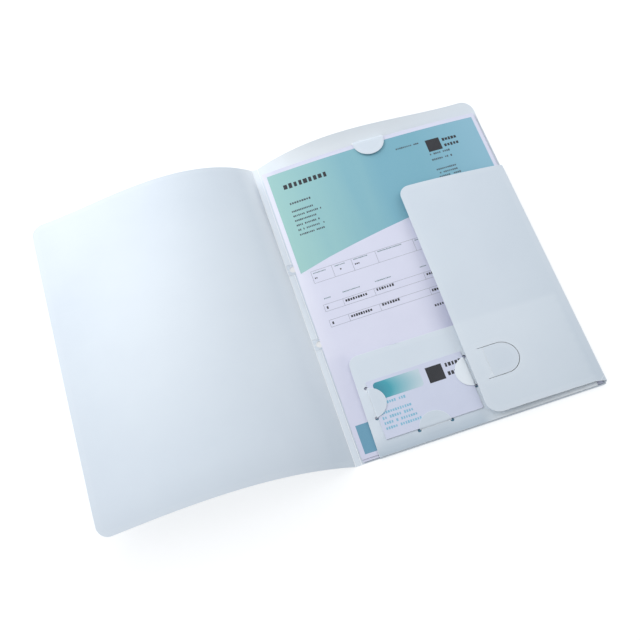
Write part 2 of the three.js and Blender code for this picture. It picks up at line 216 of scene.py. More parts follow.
def flat_film(name, outline, windows=(), cell=5 * mm):
    """A flat mesh inside the outline and outside the windows. Its attribute rim is 1 on a cut edge."""
    loops = [divided(loop, cell) for loop in (outline, *windows)]
    low, high = np.min(outline, 0), np.max(outline, 0)
    columns = np.arange(low[0] + cell / 2, high[0], cell)
    rows = np.arange(low[1] + cell / 2, high[1], cell)
    inner = np.array([(x + cell / 4 * (-1) ** j, y) for j, y in enumerate(rows) for x in columns])
    edges = [(a, b) for loop in loops for a, b in zip(loop, loop[1:] + loop[:1])]
    inner = inner[inside(inner, outline) & (to_edges(inner, edges) > 0.45 * cell)]
    points = [Vector(p) for loop in loops for p in loop] + [Vector(p) for p in inner]
    links, first = [], 0
    for loop in loops:
        links += [(first + i, first + (i + 1) % len(loop)) for i in range(len(loop))]
        first += len(loop)
    verts, _, faces, *_ = delaunay_2d_cdt(points, links, [], 0, 1e-7)
    a, b, c = (np.array([verts[face[i]] for face in faces]) for i in range(3))
    centres, area = (a + b + c) / 3, np.abs(np.cross(b - a, c - a)) / 2
    keep = inside(centres, outline) & (area > 1e-11)
    for window in windows:
        keep &= ~inside(centres, window)
    mesh = bpy.data.meshes.new(name)
    mesh.from_pydata([(v.x, v.y, 0) for v in verts], [], [f for f, kept in zip(faces, keep) if kept])
    build = bmesh.new()
    build.from_mesh(mesh)
    bmesh.ops.delete(build, geom=[v for v in build.verts if not v.link_faces], context="VERTS")
    for face in build.faces:
        if face.normal.z < 0:
            face.normal_flip()
    trapped = [face for face in build.faces if all(v.is_boundary for v in face.verts)]
    bmesh.ops.poke(build, faces=trapped)
    rim = [[v.co.xy[:] for v in e.verts] for e in build.edges if e.is_boundary]
    build.to_mesh(mesh)
    build.free()
    places = [v.co.xy[:] for v in mesh.vertices]
    nearness = np.clip(1 - to_edges(places, rim) / rim_reach, 0, 1)
    mesh.attributes.new("rim", "FLOAT", "POINT").data.foreach_set("value", nearness.astype(np.float32))
    return mesh


# %% Marks that a material reads
def within(value):
    """The value, kept from 0 to 1."""
    return min(1.0, max(0.0, value))


def ramp(value, start, end):
    """0 at start, 1 at end, and even in between."""
    return within((value - start) / (end - start))


def hill(value, middle, reach):
    """1 in the middle, falling to 0 at reach on both sides."""
    return max(0, 1 - ((value - middle) / reach) ** 2)


def mark(flat, name, rule):
    """Gives each point of a flat mesh the value of rule(x, y), kept from 0 to 1. A material reads
    pale as painted light, how much lighter it looks there, and dim as painted shade."""
    values = [within(rule(v.co.x, v.co.y)) for v in flat.vertices]
    flat.attributes.new(name, "FLOAT", "POINT").data.foreach_set("value", np.array(values, np.float32))


# %% [markdown]
# ## Node trees that bend film
# A sheet that bows follows a rule, so Geometry Nodes bend it: the tree takes the flat cut sheet and
# moves each point up by a formula with named sizes. Long formulas are hard to read as separate
# nodes, so a small class lets them be written as sums and products, and each makes a Math node.

# %% Formulas as nodes
class Field:
    """A number that varies over a mesh, made by Math nodes."""

    def __init__(self, tree, socket):
        self.tree, self.socket = tree, socket

    def step(self, operation, *others, turned=False):
        node = self.tree.nodes.new("ShaderNodeMath")
        node.operation = operation
        terms = [self, *others][::-1] if turned else [self, *others]
        feed(self.tree, node, enumerate(terms))
        return Field(self.tree, node.outputs[0])

    def __add__(self, other): return self.step("ADD", other)
    def __radd__(self, other): return self.step("ADD", other)
    def __sub__(self, other): return self.step("SUBTRACT", other)
    def __rsub__(self, other): return self.step("SUBTRACT", other, turned=True)
    def __mul__(self, other): return self.step("MULTIPLY", other)
    def __rmul__(self, other): return self.step("MULTIPLY", other)
    def __truediv__(self, other): return self.step("DIVIDE", other)
    def __pow__(self, other): return self.step("POWER", other)
    def __abs__(self): return self.step("ABSOLUTE")
    def below(self, other): return self.step("LESS_THAN", other)
    def whole(self): return self.step("FLOOR")
    def sine(self): return self.step("SINE")
    def cosine(self): return self.step("COSINE")


def at_least(value, low):
    """The larger of the two, for a number as well as for a field."""
    return value.step("MAXIMUM", low) if isinstance(value, Field) else max(value, low)


def feed(tree, node, sources):
    """Links the inputs of a node, or gives them a value."""
    for entry, source in dict(sources).items():
        if isinstance(source, Field):
            source = source.socket
        if isinstance(source, bpy.types.NodeSocket):
            tree.links.new(source, node.inputs[entry])
        else:
            node.inputs[entry].default_value = source


def add(tree, kind, sources=(), **settings):
    """A node with its properties set and its inputs fed."""
    node = tree.nodes.new(kind)
    for label, value in settings.items():
        setattr(node, label, value)
    feed(tree, node, sources)
    return node


def x_and_y(tree, place):
    split = add(tree, "ShaderNodeSeparateXYZ", {0: place})
    return Field(tree, split.outputs["X"]), Field(tree, split.outputs["Y"])


def vector(tree, x=0.0, y=0.0, z=0.0):
    return add(tree, "ShaderNodeCombineXYZ", {"X": x, "Y": y, "Z": z}).outputs[0]


# %% A tree with named inputs
SOCKETS = {float: "NodeSocketFloat", int: "NodeSocketInt",
           "geometry": "NodeSocketGeometry", "material": "NodeSocketMaterial"}


def new_tree(name, **sizes):
    """A Geometry Nodes tree with these inputs, and its nodes and fields by name."""
    tree = bpy.data.node_groups.new(name, "GeometryNodeTree")
    tree.interface.new_socket("Geometry", in_out="INPUT", socket_type=SOCKETS["geometry"])
    for label, value in sizes.items():
        socket = tree.interface.new_socket(label, in_out="INPUT", socket_type=SOCKETS[type(value)])
        socket.default_value = value
    tree.interface.new_socket("Material", in_out="INPUT", socket_type=SOCKETS["material"])
    tree.interface.new_socket("Geometry", in_out="OUTPUT", socket_type=SOCKETS["geometry"])
    entry = tree.nodes.new("NodeGroupInput")
    return tree, entry, {label: Field(tree, entry.outputs[label]) for label in sizes}


def end_tree(tree, entry, geometry):
    """Ends a tree with real geometry in the given material."""
    real = add(tree, "GeometryNodeRealizeInstances", {"Geometry": geometry})
    finish = add(tree, "GeometryNodeSetMaterial", {"Geometry": real.outputs[0], "Material": entry.outputs["Material"]})
    feed(tree, tree.nodes.new("NodeGroupOutput"), {0: finish.outputs[0]})
    return tree


def point_fields(tree):
    """X and Y of each point."""
    return x_and_y(tree, add(tree, "GeometryNodeInputPosition").outputs[0])


# %% [markdown]
# Film and paper have two faces and a cut edge. One group, used by every bending tree, does that:
# it moves a copy of the bent face off by the thickness, closes the edge and joins both, so that
# the piece is a closed solid. Solidify could do it too, but here it stays inside the same tree.

# %% The group that gives thickness
def thickness_group():
    tree, entry, size = new_tree("give thickness", Thickness=film, Start=0.0)
    normal = add(tree, "GeometryNodeInputNormal")
    back = add(tree, "ShaderNodeVectorMath", {0: normal.outputs[0], "Scale": size["Thickness"] * size["Start"] * -1},
               operation="SCALE")
    start = add(tree, "GeometryNodeSetPosition", {"Geometry": entry.outputs["Geometry"], "Offset": back.outputs[0]})
    grown = add(tree, "GeometryNodeExtrudeMesh", {
        "Mesh": start.outputs[0], "Offset Scale": size["Thickness"], "Individual": False}, mode="FACES")
    under = add(tree, "GeometryNodeFlipFaces", {"Mesh": start.outputs[0]})
    both = add(tree, "GeometryNodeJoinGeometry")
    tree.links.new(under.outputs[0], both.inputs[0])
    tree.links.new(grown.outputs["Mesh"], both.inputs[0])
    closed = add(tree, "GeometryNodeMergeByDistance", {"Geometry": both.outputs[0], "Distance": 1e-6})
    return end_tree(tree, entry, closed.outputs[0])


give_thickness = thickness_group()


def bent_and_thick(tree, entry, size, offset, start=0.0):
    """The end of a bending tree: move each point by offset, then give thickness. A start of 0 has
    the thickness above the bent face, and of 1 below it."""
    bent = add(tree, "GeometryNodeSetPosition", {"Geometry": entry.outputs["Geometry"], "Offset": offset})
    thick = add(tree, "GeometryNodeGroup", node_tree=give_thickness)
    feed(tree, thick, {"Geometry": bent.outputs[0], "Thickness": size["Thickness"], "Start": start,
                       "Material": entry.outputs["Material"]})
    return end_tree(tree, entry, thick.outputs[0])


# %% Running a tree on a mesh
def grown(name, tree, start=None, **values):
    """A new piece: the tree's result as a plain mesh, with no modifier left."""
    piece = bpy.data.objects.new(name, start or bpy.data.meshes.new(name))
    scene.collection.objects.link(piece)
    modifier = piece.modifiers.new(tree.name, "NODES")
    modifier.node_group = tree
    for item in tree.interface.items_tree:
        if item.in_out == "INPUT" and item.name in values:
            modifier[item.identifier] = values[item.name]
    depsgraph = bpy.context.evaluated_depsgraph_get()
    mesh = bpy.data.meshes.new_from_object(piece.evaluated_get(depsgraph), preserve_all_data_layers=True,
                                           depsgraph=depsgraph)
    piece.modifiers.remove(modifier)
    piece.data = mesh
    mesh.name = name
    return piece


def settle(piece, body, slot, *nodes, place=Matrix.Translation(corner), hinge=None):
    """Moves a finished mesh to its place in the frame and hands the piece over. A die cuts straight
    down, so no edge of bowed film stands out beyond the CAD node's own box. With a hinge, the mesh
    is only fixed where it lies and not handed to the body; the hinge's body and points are not used."""
    piece.data.transform(place)
    for node in nodes:
        low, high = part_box(node)
        for point in piece.data.vertices:
            point.co.x = min(max(point.co.x, low.x), high.x)
            point.co.y = min(max(point.co.y, low.y), high.y)
    piece.data.shade_smooth()
    piece.data.set_sharp_from_angle(angle=math.radians(40))
    if hinge:
        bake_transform(piece)
    else:
        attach(piece, body)
    if nodes:
        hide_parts(*nodes)
    size = np.ptp([v.co for v in piece.data.vertices], axis=0)
    print(f"{piece.name}: {len(piece.data.polygons)} faces, {np.round(size * 1000, 1)} mm")
    return piece


# %% [markdown]
# ## Shared surface effects
# Film, paper and ink share some effects: a fine grain, the faint marks of handling, and a paler
# cut edge, which is a painted highlight. Each is a shader node group with named inputs,
# built once. The Principled shader stays in each material, where a reader can see its values.

# %% Shader node helpers
def new_group(name, results, **inputs):
    """A shader node group, and its inputs as fields by name."""
    group = bpy.data.node_groups.new(name, "ShaderNodeTree")
    for label, value in inputs.items():
        socket = group.interface.new_socket(label, in_out="INPUT", socket_type="NodeSocketFloat")
        socket.default_value = value
    for label in results:
        group.interface.new_socket(label, in_out="OUTPUT", socket_type="NodeSocketFloat")
    entry = group.nodes.new("NodeGroupInput")
    return group, {label: Field(group, entry.outputs[label]) for label in inputs}


def closed(group, **results):
    """Ends a group by linking its results."""
    feed(group, group.nodes.new("NodeGroupOutput"), results)
    return group


def object_place(tree, x=1.0, y=1.0, z=1.0, turn=0.0):
    """Object coordinates, scaled and turned."""
    place = add(tree, "ShaderNodeTexCoord").outputs["Object"]
    return add(tree, "ShaderNodeMapping", {
        "Vector": place, "Rotation": (0, 0, turn), "Scale": (x, y, z)}).outputs[0]


def object_fields(tree):
    """X and Y of the Object coordinates, measured from the foot of the front cover's crease."""
    x, y = x_and_y(tree, add(tree, "ShaderNodeTexCoord").outputs["Object"])
    return x - corner.x, y - corner.y


def marked(tree, name):
    """The value that a mesh carries under this name."""
    return Field(tree, add(tree, "ShaderNodeAttribute", attribute_name=name).outputs["Fac"])


def noise(tree, where, scale, detail=3.0, roughness=0.55):
    return Field(tree, add(tree, "ShaderNodeTexNoise", {
        "Vector": where, "Scale": scale, "Detail": detail, "Roughness": roughness}).outputs[0])


def spread_over(tree, value, low, high, to_low=0.0, to_high=1.0):
    """The value, spread from one range over another and kept inside it."""
    return Field(tree, add(tree, "ShaderNodeMapRange", {
        "Value": value, "From Min": low, "From Max": high, "To Min": to_low, "To Max": to_high}).outputs[0])


def from_code(code):
    """A linear colour from its six digit code."""
    parts = [int(code[i:i + 2], 16) / 255 for i in (0, 2, 4)]
    return tuple(c / 12.92 if c <= 0.04045 else ((c + 0.055) / 1.055) ** 2.4 for c in parts)


def mixed(tree, share, *colours):
    """A mix of two colours, each of them a socket, a code or a linear colour."""
    node = add(tree, "ShaderNodeMix", {0: share}, data_type="RGBA")
    ends = [i for i, entry in enumerate(node.inputs) if entry.type == "RGBA"]
    for end, colour in zip(ends, colours):
        if isinstance(colour, str):
            colour = from_code(colour)
        feed(tree, node, {end: (*colour, 1) if isinstance(colour, tuple) else colour})
    return next(out for out in node.outputs if out.type == "RGBA")


# %% Grain, handling marks and the cut rim
def grain_group():
    group, size = new_group("fine grain", ("Height", "Tone"), Size=2500.0, Blotch_size=30.0)
    where = object_place(group)
    fine = noise(group, where, size["Size"], detail=4.0)
    broad = noise(group, where, size["Blotch_size"], detail=5.0, roughness=0.6)
    return closed(group, Height=fine, Tone=spread_over(group, broad, 0.3, 0.7))


def marks_group():
    group, size = new_group("handling marks", ("Smudge", "Scratch"), Amount=1.0)
    smudge = spread_over(group, noise(group, object_place(group), 24.0, detail=6.0, roughness=0.65), 0.5, 0.72)
    thin = noise(group, object_place(group, 14.0, 900.0, 60.0, turn=0.5), 1.0, detail=2.0)
    other = noise(group, object_place(group, 1100.0, 10.0, 60.0, turn=0.35), 1.0, detail=2.0)
    scratch = spread_over(group, thin, 0.70, 0.76) + spread_over(group, other, 0.72, 0.78)
    return closed(group, Smudge=smudge * size["Amount"], Scratch=scratch * size["Amount"])


# Rim is a painted highlight along a cut edge, Width wide. Band marks a strip about 5 mm wide along it.
def rim_group():
    group, size = new_group("cut rim", ("Rim", "Band"), Width=0.3 * mm)
    near = marked(group, "rim")
    away = (1 - near) * rim_reach
    rim = spread_over(group, away, size["Width"], 0.0)
    band = spread_over(group, away, 5.5 * mm, 4.5 * mm) * near.step("GREATER_THAN", 0.001)
    return closed(group, Rim=rim, Band=band)


fine_grain, handling_marks, cut_rim = grain_group(), marks_group(), rim_group()
print("shared effects:", fine_grain.name, handling_marks.name, cut_rim.name)

# %% [markdown]
# ## The film
# The real film is opaque polypropylene with a soft matt finish: cool white, faintly uneven where
# it is thinner, and a little glossier where it has been handled. Its cut edges get a painted highlight,
# and painted light and shade make it lighter or darker in places.

# %% Film
def material(name, roughness):
    made = bpy.data.materials.new(name)
    made.use_nodes = True
    shader = made.node_tree.nodes["Principled BSDF"]
    shader.inputs["Roughness"].default_value = roughness
    return made, made.node_tree, shader


def grouped(tree, group, **values):
    """A shared effect with these values, as its results by name."""
    node = add(tree, "ShaderNodeGroup", values, node_tree=group)
    return {out.name: Field(tree, out) for out in node.outputs}


def rough_surface(tree, shader, height, strength, depth):
    bump = add(tree, "ShaderNodeBump", {"Height": height, "Strength": strength, "Distance": depth})
    feed(tree, shader, {"Normal": bump.outputs[0]})


def film_material(name="matt film", painted_light_foot=0.0, painted_light_head=0.0, painted_fold_shade=0.0):
    """Film with painted light, given at foot and head and by the mark pale, and painted shade near the fold at the foot
    and by the mark dim.
    """
    made, tree, shader = material(name, 0.42)
    grain = grouped(tree, fine_grain, Size=1800.0, Blotch_size=14.0)
    marks = grouped(tree, handling_marks, Amount=0.8)
    rim = grouped(tree, cut_rim, Width=0.35 * mm)
    y = object_fields(tree)[1]
    backed = mixed(tree, grain["Tone"], "D4DFEA", "D8E3ED")
    # Painted shade mixes the film towards 8CA3B5, and painted light mixes it towards F0F8FE.
    shade = spread_over(tree, y, 21 * mm, 0.0) ** 1.5 * painted_fold_shade + marked(tree, "dim")
    painted_light = marked(tree, "pale") + spread_over(tree, y, 0.0, folder_height, painted_light_foot, painted_light_head)
    tone = mixed(tree, painted_light, mixed(tree, shade, backed, "8CA3B5"), "F0F8FE")
    handled = mixed(tree, marks["Scratch"] * 0.12, tone, "EEF4F8")
    # A painted highlight along each cut edge, and a faint paler band about 5 mm wide along it.
    edge = rim["Rim"] * 0.7 + rim["Band"] * 0.05
    dull = spread_over(tree, grain["Height"], 0.3, 0.7, 0.40, 0.48) - marks["Smudge"] * 0.05
    feed(tree, shader, {"Base Color": mixed(tree, edge, handled, "F2F8FC"), "Roughness": dull})
    rough_surface(tree, shader, grain["Height"] - marks["Scratch"] * 0.3, 0.25, 0.03 * mm)
    return made


film_white = film_material()
# Painted shade near the fold at the pocket's foot.
film_pocket = film_material("matt film of the bottom pocket", painted_fold_shade=0.6)
# Painted light on the spine strips, stronger towards the head.
film_spine = film_material("matt film of the spine", painted_light_foot=0.25, painted_light_head=0.85)

# %% [markdown]
# ## Paper and ink
# Office paper is bluish white, because of its brighteners, and its fibres make a fine uneven tooth.
# Ink is a thin layer on that tooth, so it keeps the paper's grain and only changes its colour.

# %% Paper
def paper_material(name, light, dark, tooth=1400.0, roughness=0.8):
    made, tree, shader = material(name, roughness)
    grain = grouped(tree, fine_grain, Size=tooth, Blotch_size=40.0)
    rim = grouped(tree, cut_rim, Width=0.25 * mm)
    fibre = noise(tree, object_place(tree, 500.0, 2200.0, 1000.0, turn=0.3), 1.0, detail=4.0)
    mottled = mixed(tree, grain["Tone"] * 0.5 + fibre * 0.5, light, dark)
    # Painted shade mixes the paper towards 949CBF where the mark dim says, and painted light towards F0F2FF where pale
    # says.
    tone = mixed(tree, marked(tree, "pale"), mixed(tree, marked(tree, "dim"), mottled, "949CBF"), "F0F2FF")
    # The cut edge gets a painted highlight towards F4F4FA.
    feed(tree, shader, {"Base Color": mixed(tree, rim["Rim"] * 0.35, tone, "F4F4FA"),
                        "Roughness": spread_over(tree, fibre, 0.3, 0.7, roughness - 0.05, roughness + 0.05)})
    rough_surface(tree, shader, grain["Height"] + fibre * 0.5, 0.3, 0.02 * mm)
    return made


paper_white = paper_material("office paper", "DFE2F4", "D9DCEF")
card_white = paper_material("card board", "D3DAEE", "CDD4E8", tooth=900.0, roughness=0.6)

# %% Ink
def ink_material(name, colour_at, roughness=0.6, speck=0.06):
    """Ink whose colour over the sheet comes from colour_at(tree, x, y)."""
    made, tree, shader = material(name, roughness)
    grain = grouped(tree, fine_grain, Size=2200.0, Blotch_size=25.0)
    fleck = spread_over(tree, grain["Height"], 0.35, 0.75) * speck
    feed(tree, shader, {"Base Color": mixed(tree, fleck, colour_at(tree, *object_fields(tree)), "E4E8F4"),
                        "Roughness": spread_over(tree, grain["Tone"], 0, 1, roughness - 0.04, roughness + 0.04)})
    rough_surface(tree, shader, grain["Height"], 0.25, 0.02 * mm)
    return made


def header_colour(tree, x, y):
    """Sea green at the left to light blue at the right, with soft slanting beams. The foot is bluer."""
    beams = noise(tree, object_place(tree, 34.0, 5.0, 1.0, turn=0.35), 1.0, detail=2.0)
    across = spread_over(tree, x + (beams - 0.5) * (46 * mm), 4 * mm, 112 * mm)
    light = mixed(tree, across, "9FCECA", "77B1C4")
    far = mixed(tree, spread_over(tree, x, 150 * mm, 215 * mm), light, "8ABBD0")
    return mixed(tree, spread_over(tree, y, 150 * mm, 60 * mm), far, "659DB8")


def picture_colour(tree, x, y):
    """A soft sweep from deep sea blue to pale grey."""
    bend = (x - 34 * mm) / (44 * mm) + ((y - 56 * mm) / (17 * mm)) ** 2 * 0.4
    deep = mixed(tree, spread_over(tree, bend, 0.0, 0.45), "2E7F98", "3FA9B8")
    return mixed(tree, spread_over(tree, bend, 0.35, 1.0), deep, "C4D8E2")


def even(code):
    """One colour, a little lighter in soft patches."""
    lighter = tuple(min(1.0, c * 1.12 + 0.004) for c in from_code(code))
    return lambda tree, x, y: mixed(
        tree, spread_over(tree, noise(tree, object_place(tree), 90.0), 0.3, 0.7), code, lighter)


ink_teal = ink_material("sea green print", header_colour)
ink_picture = ink_material("picture print", picture_colour, roughness=0.45)
ink_dark = ink_material("black print", even("1A1D24"), speck=0.04)
ink_grey = ink_material("grey print", even("8D93A0"))
ink_fine = ink_material("fine black print", even("3A444E"))
ink_label = ink_material("green label print", even("5F7F84"))
ink_blue = ink_material("blue print", even("80BAD3"))
print("materials:", [made.name for made in bpy.data.materials if made.use_nodes])

# %% [markdown]
# ## The back cover
# The back cover lies flat at its foot and bows up towards the head, because the sheets under its
# head tab hold it. Its head lip curls up further. The head tab has to meet this shape later, so
# the formulas take numbers as well as fields.

# %% How the back cover and the sheets rise
growth_sizes = dict(Flat_foot=60 * mm, Height=folder_height, Growth=1.6)
back_sizes = dict(Crease=spine_width, Width=back_width, Bow=9.6 * mm, Crown=77.2 / 214.5, Lip=25 * mm,
                  Lip_curl=8 * mm, Corner_lift=5 * mm, **growth_sizes)
sheet_sizes = dict(Underside=lowest_sheet, Left=sheet_left, Width=sheet_width, Left_lift=8.5 * mm,
                   Right_lift=1.6 * mm, Crown=5.7 * mm, **growth_sizes)


def growth(y, size):
    """How the bow grows towards the head."""
    return (at_least(y - size["Flat_foot"], 0) / (size["Height"] - size["Flat_foot"])) ** size["Growth"]


def rise_of_back(x, y, size):
    u = at_least((x - size["Crease"]) / size["Width"], 0)
    peak = size["Crown"]
    fall = (1 - peak) / peak
    hump = u * at_least(1 - u, 0) ** fall / (peak * (1 - peak) ** fall)
    curl = at_least((y - size["Height"] + size["Lip"]) / size["Lip"], 0) ** 2
    return growth(y, size) * size["Bow"] * hump + curl * (size["Lip_curl"] * hump + size["Corner_lift"] * u ** 3)


def rise_of_sheets(x, y, size):
    w = (x - size["Left"]) / size["Width"]
    return growth(y, size) * (size["Left_lift"] * (1 - w) + size["Right_lift"] * w + size["Crown"] * 4 * w * (1 - w))


# %% The back cover, with windows where the filing tongues and the head tab are cut out
def back_cover_tree():
    tree, entry, size = new_tree("bow of the back cover", Thickness=film, **back_sizes)
    x, y = point_fields(tree)
    return bent_and_thick(tree, entry, size, vector(tree, z=rise_of_back(x, y, size) + size["Thickness"]), start=1.0)


def filing_outline(grow, root):
    half, end, radius = filing_width / 2 + grow, filing_length + grow, filing_radius + grow
    return rounded([(root, -half, 0), (end, -half, radius), (end, half, radius), (root, half, 0)])


def head_tab_outline(grow, root):
    return placed(half_round(head_tab_width, head_tab_reach, grow, root), head_tab_centre, head_tab_root, -math.pi / 2)


near_crease, far_crease = spine_width + crease_gap, side_crease_x - crease_gap
back_flat = flat_film(
    "back_cover", rounded([(near_crease, crease_gap, 0), (far_crease, crease_gap, 0),
                           (far_crease, folder_height, cover_corner), (near_crease, folder_height, 0)]),
    [placed(filing_outline(cut_gap, -past), 0, y) for y in filing_centres] + [head_tab_outline(cut_gap, -0.1 * mm)])
# Painted light on the head lip, weaker near the spine and towards the outer edge.
mark(back_flat, "pale", lambda x, y: min(1, 0.1 + x / (30 * mm), 1.3 - 0.9 * x / back_width)
     * ramp(y, 294 * mm, 300 * mm))
back_cover = grown("back_cover_film", back_cover_tree(), back_flat, Material=film_white)
settle(back_cover, "back", "film", "back_cover")

# %% [markdown]
# ## The front cover
# The front cover keeps its length while it bows, so its points follow the arc: the tree adds up
# small steps along the slope, which changes from the crease to the outer edge. Its foot edge hangs
# free and droops a little.

# %% The front cover
slope_labels = ("Crease", "Third", "Two_thirds", "Edge")
slopes_foot = [math.radians(angle) for angle in (40.8, 12.4, -4.4, -10.2)]
slopes_head = [math.radians(angle) for angle in (47.5, 8.2, -10.0, -0.3)]
held_by_crease = 40 * mm                    # up to here the crease holds the foot edge up


def through(values, u):
    """A cubic through four values at u = 0, 1/3, 2/3 and 1."""
    total = 0
    for i, value in enumerate(values):
        weight = value
        for k in range(4):
            if k != i:
                weight = weight * ((u * 3 - k) / (i - k))
        total = weight + total
    return total


def front_cover_tree(steps=24):
    tree, entry, size = new_tree(
        "bow of the front cover", Thickness=film, Width=front_width, Height=folder_height, Droop=2.3 * mm,
        Droop_reach=38 * mm,
        **{f"{label}_foot": slope for label, slope in zip(slope_labels, slopes_foot)},
        **{f"{label}_head": slope for label, slope in zip(slope_labels, slopes_head)})
    x, y = point_fields(tree)
    distance = x * -1
    share = y / size["Height"]
    slopes = [size[f"{label}_foot"] + (size[f"{label}_head"] - size[f"{label}_foot"]) * share
              for label in slope_labels]
    first = tree.nodes.new("GeometryNodeRepeatInput")
    last = tree.nodes.new("GeometryNodeRepeatOutput")
    first.pair_with_output(last)
    last.repeat_items.clear()
    for label in ("Across", "Up", "Step"):
        last.repeat_items.new("FLOAT", label)
    feed(tree, first, {"Iterations": steps, "Step": 0.5})
    across, up, count = (Field(tree, first.outputs[label]) for label in ("Across", "Up", "Step"))
    slope = through(slopes, count / steps * distance / size["Width"])
    feed(tree, last, {"Across": across + slope.cosine() * distance / steps,
                      "Up": up + slope.sine() * distance / steps, "Step": count + 1})
    foot = at_least((size["Droop_reach"] - y) / size["Droop_reach"], 0)
    free = 1 - at_least((held_by_crease - distance) / held_by_crease, 0) ** 2
    droop = (foot ** 2.5 * -1 + 0.18 * (1 - share ** 2)) * free * size["Droop"]
    place = vector(tree, Field(tree, last.outputs["Across"]) * -1 - x, 0.0,
                   Field(tree, last.outputs["Up"]) + droop + size["Thickness"])
    return bent_and_thick(tree, entry, size, place, start=1.0)


front_flat = flat_film("front_cover", rounded([
    (-crease_gap, 0, 0), (-crease_gap, folder_height, 0),
    (-front_width, folder_height, cover_corner), (-front_width, 0, cover_corner)]))
# Painted light along the crease, stronger towards the head, and in a broad soft patch across the cover's middle;
# painted shade near the crease towards the foot.
mark(front_flat, "pale", lambda x, y: max((0.2 + 0.7 * y / folder_height) * ramp(x, -18 * mm, 0),
                                          0.24 * hill(x, -112 * mm, 90 * mm) * hill(y, 165 * mm, 120 * mm)))
mark(front_flat, "dim", lambda x, y: 0.35 * ramp(x, -60 * mm, 0) * ramp(y, 100 * mm, 0))
front_cover = grown("front_cover_film", front_cover_tree(), front_flat, Material=film_white)
settle(front_cover, "front", "film", "front_cover")

# %% [markdown]
# ## The three sheets
# Paper is stiffer than it looks: the stack bridges the hollow beside the spine, and so its left
# edge stands clear of the cover at the head. All three sheets follow one tree, at three heights.

# %% The sheets
def sheet_tree():
    tree, entry, size = new_tree("lie of the sheets", Thickness=sheet_thickness, **sheet_sizes)
    x, y = point_fields(tree)
    return bent_and_thick(tree, entry, size, vector(tree, z=rise_of_sheets(x, y, size) + size["Underside"]))


def painted_shade_of_sheet(x, y):
    """A painted soft shade beside the side flap's free edge, and one beside the bottom flap's left edge."""
    beside_side_flap = within(1 - abs(x - 116 * mm) / (18 * mm)) * ramp(y, 160 * mm, 100 * mm)
    beside_bottom_flap = ramp(x, 28 * mm, 20 * mm) * ramp(y, 104 * mm, 94 * mm)
    return 0.3 * beside_side_flap + 0.16 * beside_bottom_flap


lie_of_sheets = sheet_tree()
shifts = {"third_sheet": (0.9 * mm, -1.2 * mm), "second_sheet": (0.4 * mm, -2.2 * mm), "letter_sheet": (0.0, 0.0)}
sheets = {}
for layer, (node, (dx, dy)) in enumerate(shifts.items()):
    flat = flat_film(node, rectangle(sheet_left + dx, sheet_foot + dy, sheet_width, sheet_height), cell=6 * mm)
    # Painted light along each sheet's left edge, stronger towards the head, and painted shade beside the flaps.
    mark(flat, "pale", lambda x, y: ramp(x, sheet_left + 14 * mm, sheet_left) * min(0.8, y / sheet_height))
    mark(flat, "dim", painted_shade_of_sheet)
    sheets[node] = grown(f"{node}_paper", lie_of_sheets, flat,
                         Underside=lowest_sheet + layer * sheet_step, Material=paper_white)
for node in ("third_sheet", "second_sheet"):
    settle(sheets[node], node, "paper", node)

# %% [markdown]
# ## Print on the letter
# Small blocks of ink stand in rows on the letter, as in a printer's layout, before there is any
# text. They have the places and shades that rows of print would have.

# %% Rows of letter-sized blocks
def text_tree():
    tree, entry, size = new_tree(
        "rows of text blocks", Rows=3, Letters=12, Left=0.0, Top=0.0, Row_pitch=4 * mm, Letter_pitch=1.5 * mm,
        Letter_height=2 * mm, Gap_share=0.12, Ragged=0.35, Seed=1)
    points = add(tree, "GeometryNodePoints", {"Count": size["Rows"] * size["Letters"]})
    index = Field(tree, add(tree, "GeometryNodeInputIndex").outputs[0])
    row = (index / size["Letters"] + 0.001).whole()
    column = index - row * size["Letters"]

    def chance(low, high, key, shift):
        node = add(tree, "FunctionNodeRandomValue", {"ID": key, "Seed": size["Seed"] + shift, 2: low, 3: high},
                   data_type="FLOAT")
        return Field(tree, node.outputs[1])

    place = vector(tree, size["Left"] + (column + 0.5) * size["Letter_pitch"], size["Top"] - row * size["Row_pitch"])
    spread = add(tree, "GeometryNodeSetPosition", {"Geometry": points.outputs[0], "Position": place})
    gap = chance(0, 1, index, 0).below(size["Gap_share"])
    too_far = (size["Letters"] * (1 - size["Ragged"] * chance(0, 1, row, 7))).below(column)
    kept = add(tree, "GeometryNodeDeleteGeometry", {"Geometry": spread.outputs[0], "Selection": at_least(gap, too_far)})
    block = add(tree, "GeometryNodeMeshGrid", {"Size X": 1.0, "Size Y": 1.0, "Vertices X": 2, "Vertices Y": 2})
    tall = size["Letter_height"] * chance(0.72, 1.0, index, 3)
    scale = vector(tree, size["Letter_pitch"] * chance(0.55, 0.82, index, 5), tall, 1.0)
    blocks = add(tree, "GeometryNodeInstanceOnPoints", {
        "Points": kept.outputs[0], "Instance": block.outputs[0], "Scale": scale})
    return end_tree(tree, entry, blocks.outputs[0])


rows_of_text = text_tree()

# %% Ink helpers, with sizes in millimetres
def together(name, meshes):
    """Several flat meshes as one."""
    build = bmesh.new()
    for mesh in meshes:
        build.from_mesh(mesh)
    bmesh.ops.remove_doubles(build, verts=build.verts, dist=1e-6)
    whole = bpy.data.meshes.new(name)
    build.to_mesh(whole)
    build.free()
    return whole


def bars(name, boxes, longest=8):
    """Flat rectangles (left, foot, width, height), divided so that they can bend."""
    verts, faces = [], []
    for left, foot, width, height in boxes:
        across, along = math.ceil(width / longest), math.ceil(height / longest)
        for i in range(across):
            for j in range(along):
                faces.append(list(range(len(verts), len(verts) + 4)))
                verts += [(x * mm, y * mm, 0) for x, y in rectangle(
                    left + width * i / across, foot + height * j / along, width / across, height / along)]
    mesh = bpy.data.meshes.new(name)
    mesh.from_pydata(verts, [], faces)
    return together(name, [mesh])


